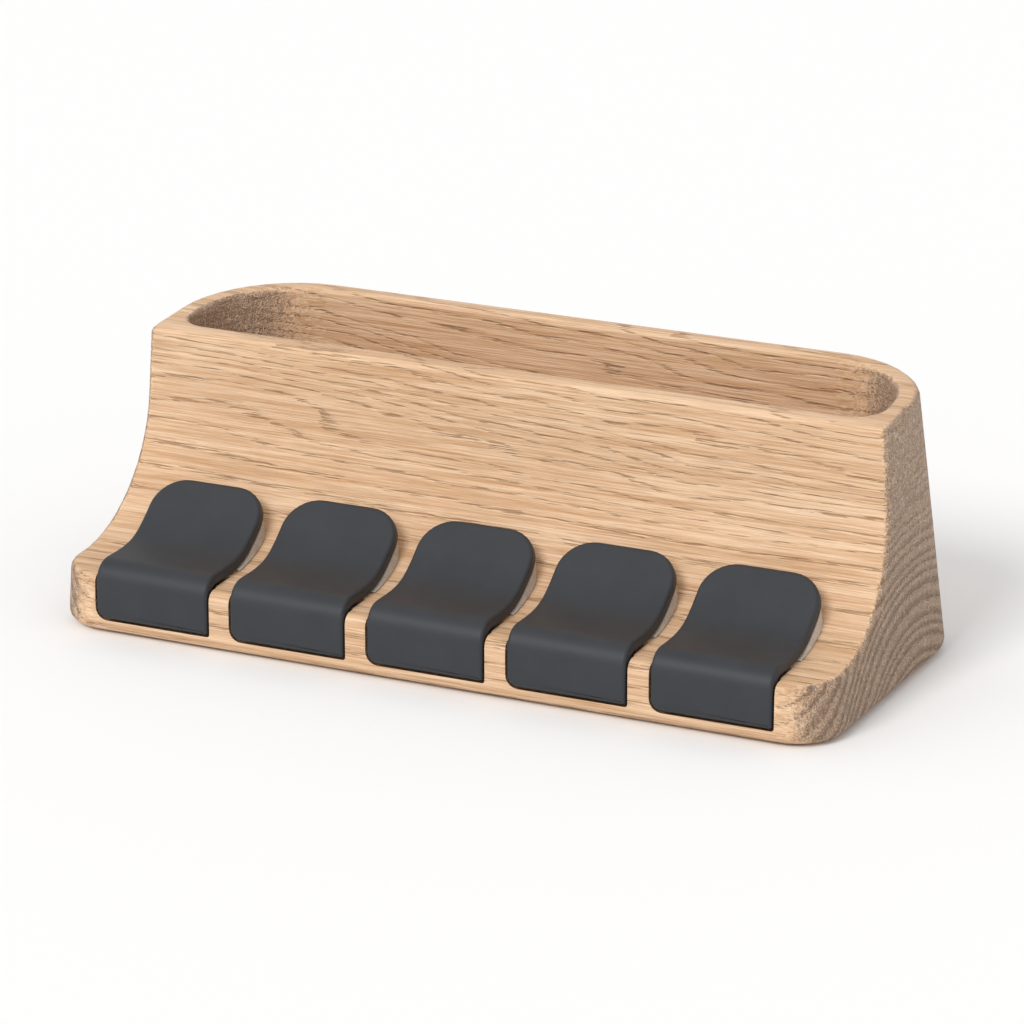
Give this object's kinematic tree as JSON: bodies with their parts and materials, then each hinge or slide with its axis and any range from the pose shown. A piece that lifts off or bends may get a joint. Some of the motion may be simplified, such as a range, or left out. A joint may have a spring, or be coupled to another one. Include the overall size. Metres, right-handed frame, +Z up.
{
  "type": "pick holder",
  "caption": "Solid oak block with a row of sprung rocker clips that grip guitar picks along its stepped front, and a deep round-cornered tray behind them",
  "frame": {"origin": "middle of the overall box in X and Y, on the surface the feet stand on", "axes": "+X along the row of clips, from the viewer's left to right; +Y from the clips towards the tray at the back; +Z up"},
  "size_m": [0.194, 0.0856, 0.0645],
  "materials": {
    "oak": "oiled, long grain along X, end grain on the ends",
    "soft_grey": "soft-touch satin charcoal",
    "pad_grey": "matt pale grey silicone",
    "steel": "ground pin stock",
    "spring_steel": "drawn spring wire",
    "black_nylon": "moulded, matt",
    "zinc": "zinc plated",
    "rubber": "matt black"
  },
  "bodies": {
    "base": {"oak_body": "oak", "foot_front_left": "rubber", "foot_front_right": "rubber", "foot_rear_left": "rubber", "foot_rear_right": "rubber", "pivot_bracket_1": "black_nylon", "pivot_pin_1": "steel", "torsion_spring_1": "spring_steel", "bracket_screw_1_left": "zinc", "bracket_screw_1_right": "zinc", "pivot_bracket_2": "black_nylon", "pivot_pin_2": "steel", "torsion_spring_2": "spring_steel", "bracket_screw_2_left": "zinc", "bracket_screw_2_right": "zinc", "pivot_bracket_3": "black_nylon", "pivot_pin_3": "steel", "torsion_spring_3": "spring_steel", "bracket_screw_3_left": "zinc", "bracket_screw_3_right": "zinc", "pivot_bracket_4": "black_nylon", "pivot_pin_4": "steel", "torsion_spring_4": "spring_steel", "bracket_screw_4_left": "zinc", "bracket_screw_4_right": "zinc", "pivot_bracket_5": "black_nylon", "pivot_pin_5": "steel", "torsion_spring_5": "spring_steel", "bracket_screw_5_left": "zinc", "bracket_screw_5_right": "zinc"},
    "clip_1": {"clip_lever_1": "soft_grey", "grip_pad_1": "pad_grey"},
    "clip_2": {"clip_lever_2": "soft_grey", "grip_pad_2": "pad_grey"},
    "clip_3": {"clip_lever_3": "soft_grey", "grip_pad_3": "pad_grey"},
    "clip_4": {"clip_lever_4": "soft_grey", "grip_pad_4": "pad_grey"},
    "clip_5": {"clip_lever_5": "soft_grey", "grip_pad_5": "pad_grey"}
  },
  "joints": [
    {"name": "clip_1_pivot", "type": "hinge", "parent": "base", "child": "clip_1", "pos_m": [-0.07, -0.03805, 0.0128], "axis": [1, 0, 0], "range_deg": [0, 12], "stiffness_Nm_per_rad": 0.1, "springref_deg": -20.05, "deforming": ["torsion_spring_1"]},
    {"name": "clip_2_pivot", "type": "hinge", "parent": "base", "child": "clip_2", "pos_m": [-0.035, -0.03805, 0.0128], "axis": [1, 0, 0], "range_deg": [0, 12], "stiffness_Nm_per_rad": 0.1, "springref_deg": -20.05, "deforming": ["torsion_spring_2"]},
    {"name": "clip_3_pivot", "type": "hinge", "parent": "base", "child": "clip_3", "pos_m": [0, -0.03805, 0.0128], "axis": [1, 0, 0], "range_deg": [0, 12], "stiffness_Nm_per_rad": 0.1, "springref_deg": -20.05, "deforming": ["torsion_spring_3"]},
    {"name": "clip_4_pivot", "type": "hinge", "parent": "base", "child": "clip_4", "pos_m": [0.035, -0.03805, 0.0128], "axis": [1, 0, 0], "range_deg": [0, 12], "stiffness_Nm_per_rad": 0.1, "springref_deg": -20.05, "deforming": ["torsion_spring_4"]},
    {"name": "clip_5_pivot", "type": "hinge", "parent": "base", "child": "clip_5", "pos_m": [0.07, -0.03805, 0.0128], "axis": [1, 0, 0], "range_deg": [0, 12], "stiffness_Nm_per_rad": 0.1, "springref_deg": -20.05, "deforming": ["torsion_spring_5"]}
  ]
}
